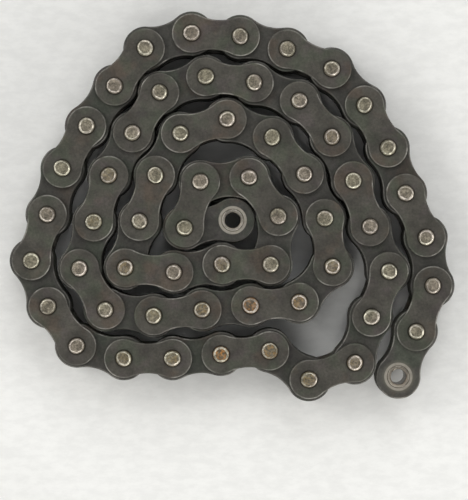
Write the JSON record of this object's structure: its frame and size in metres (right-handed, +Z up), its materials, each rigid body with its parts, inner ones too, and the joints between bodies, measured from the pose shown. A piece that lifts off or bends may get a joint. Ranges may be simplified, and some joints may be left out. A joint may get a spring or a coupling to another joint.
{
  "type": "roller chain",
  "caption": "Coiled length of single-strand half-inch roller chain, with riveted outer links, bushed inner links and open bushes at both ends.",
  "frame": {"origin": "under the middle of the coil, on the surface that the lower pin ends stand on", "axes": "+Z up along the pins; +X along the longer side of the coil, as it is seen from above; +Y completes the frame"},
  "size_m": [0.1162, 0.1018, 0.0165],
  "materials": {
    "outer_link_steel": "dark oxide, oiled, worn bright on the edges and the riveted pin ends",
    "inner_link_steel": "dark oxide, oiled, with worn bright rings round the bushes",
    "roller_steel": "hardened steel, oiled"
  },
  "bodies": {
    "wound_coil": {"inner_link_15": "inner_link_steel", "outer_link_16": "outer_link_steel", "inner_link_17": "inner_link_steel", "outer_link_18": "outer_link_steel", "inner_link_19": "inner_link_steel", "outer_link_20": "outer_link_steel", "inner_link_21": "inner_link_steel", "outer_link_22": "outer_link_steel", "inner_link_23": "inner_link_steel", "outer_link_24": "outer_link_steel", "inner_link_25": "inner_link_steel", "outer_link_26": "outer_link_steel", "inner_link_27": "inner_link_steel", "outer_link_28": "outer_link_steel", "inner_link_29": "inner_link_steel", "outer_link_30": "outer_link_steel", "inner_link_31": "inner_link_steel", "outer_link_32": "outer_link_steel", "inner_link_33": "inner_link_steel", "outer_link_34": "outer_link_steel", "inner_link_35": "inner_link_steel", "outer_link_36": "outer_link_steel", "inner_link_37": "inner_link_steel", "outer_link_38": "outer_link_steel", "inner_link_39": "inner_link_steel", "outer_link_40": "outer_link_steel", "inner_link_41": "inner_link_steel", "outer_link_42": "outer_link_steel", "inner_link_43": "inner_link_steel", "outer_link_44": "outer_link_steel", "inner_link_45": "inner_link_steel", "outer_link_46": "outer_link_steel", "inner_link_47": "inner_link_steel", "outer_link_48": "outer_link_steel", "inner_link_49": "inner_link_steel", "outer_link_50": "outer_link_steel", "inner_link_51": "inner_link_steel", "outer_link_52": "outer_link_steel", "inner_link_53": "inner_link_steel", "outer_link_54": "outer_link_steel", "inner_link_55": "inner_link_steel", "outer_link_56": "outer_link_steel", "inner_link_57": "inner_link_steel", "outer_link_58": "outer_link_steel", "inner_link_59": "inner_link_steel"},
    "free_link_14": {"outer_link_14": "outer_link_steel"},
    "free_link_13": {"inner_link_13": "inner_link_steel"},
    "free_link_12": {"outer_link_12": "outer_link_steel"},
    "free_link_11": {"inner_link_11": "inner_link_steel"},
    "free_link_10": {"outer_link_10": "outer_link_steel"},
    "free_link_09": {"inner_link_09": "inner_link_steel"},
    "free_link_08": {"outer_link_08": "outer_link_steel"},
    "free_link_07": {"inner_link_07": "inner_link_steel"},
    "free_link_06": {"outer_link_06": "outer_link_steel"},
    "free_link_05": {"inner_link_05": "inner_link_steel"},
    "free_link_04": {"outer_link_04": "outer_link_steel"},
    "free_link_03": {"inner_link_03": "inner_link_steel"},
    "free_link_02": {"outer_link_02": "outer_link_steel"},
    "free_link_01": {"inner_link_01": "inner_link_steel"},
    "end_roller": {"end_roller": "roller_steel"}
  },
  "joints": [
    {"name": "pin_joint_14", "type": "hinge", "parent": "wound_coil", "child": "free_link_14", "pos_m": [-0.04426, 0.00993, 0.00825], "axis": [0, 0, 1], "range_deg": [0, 35]},
    {"name": "pin_joint_13", "type": "hinge", "parent": "free_link_14", "child": "free_link_13", "pos_m": [-0.03791, 0.02093, 0.00825], "axis": [0, 0, 1], "range_deg": [0, 35]},
    {"name": "pin_joint_12", "type": "hinge", "parent": "free_link_13", "child": "free_link_12", "pos_m": [-0.03063, 0.03133, 0.00825], "axis": [0, 0, 1], "range_deg": [0, 35]},
    {"name": "pin_joint_11", "type": "hinge", "parent": "free_link_12", "child": "free_link_11", "pos_m": [-0.02264, 0.0412, 0.00825], "axis": [0, 0, 1], "range_deg": [0, 35]},
    {"name": "pin_joint_10", "type": "hinge", "parent": "free_link_11", "child": "free_link_10", "pos_m": [-0.01056, 0.04512, 0.00825], "axis": [0, 0, 1], "range_deg": [0, 35]},
    {"name": "pin_joint_09", "type": "hinge", "parent": "free_link_10", "child": "free_link_09", "pos_m": [0.00211, 0.04424, 0.00825], "axis": [0, 0, 1], "range_deg": [0, 35]},
    {"name": "pin_joint_08", "type": "hinge", "parent": "free_link_09", "child": "free_link_08", "pos_m": [0.01438, 0.04095, 0.00825], "axis": [0, 0, 1], "range_deg": [0, 35]},
    {"name": "pin_joint_07", "type": "hinge", "parent": "free_link_08", "child": "free_link_07", "pos_m": [0.02598, 0.03579, 0.00825], "axis": [0, 0, 1], "range_deg": [0, 35]},
    {"name": "pin_joint_06", "type": "hinge", "parent": "free_link_07", "child": "free_link_06", "pos_m": [0.03448, 0.02635, 0.00825], "axis": [0, 0, 1], "range_deg": [0, 35]},
    {"name": "pin_joint_05", "type": "hinge", "parent": "free_link_06", "child": "free_link_05", "pos_m": [0.04064, 0.01524, 0.00825], "axis": [0, 0, 1], "range_deg": [0, 35]},
    {"name": "pin_joint_04", "type": "hinge", "parent": "free_link_05", "child": "free_link_04", "pos_m": [0.04519, 0.00338, 0.00825], "axis": [0, 0, 1], "range_deg": [0, 35]},
    {"name": "pin_joint_03", "type": "hinge", "parent": "free_link_04", "child": "free_link_03", "pos_m": [0.05055, -0.00813, 0.00825], "axis": [0, 0, 1], "range_deg": [0, 35]},
    {"name": "pin_joint_02", "type": "hinge", "parent": "free_link_03", "child": "free_link_02", "pos_m": [0.05232, -0.0207, 0.00825], "axis": [0, 0, 1], "range_deg": [0, 35]},
    {"name": "pin_joint_01", "type": "hinge", "parent": "free_link_02", "child": "free_link_01", "pos_m": [0.04798, -0.03264, 0.00825], "axis": [0, 0, 1], "range_deg": [0, 120]},
    {"name": "end_roller_spin", "type": "hinge", "parent": "free_link_01", "child": "end_roller", "pos_m": [0.04343, -0.04449, 0.00825], "axis": [0, 0, 1], "continuous": true}
  ]
}
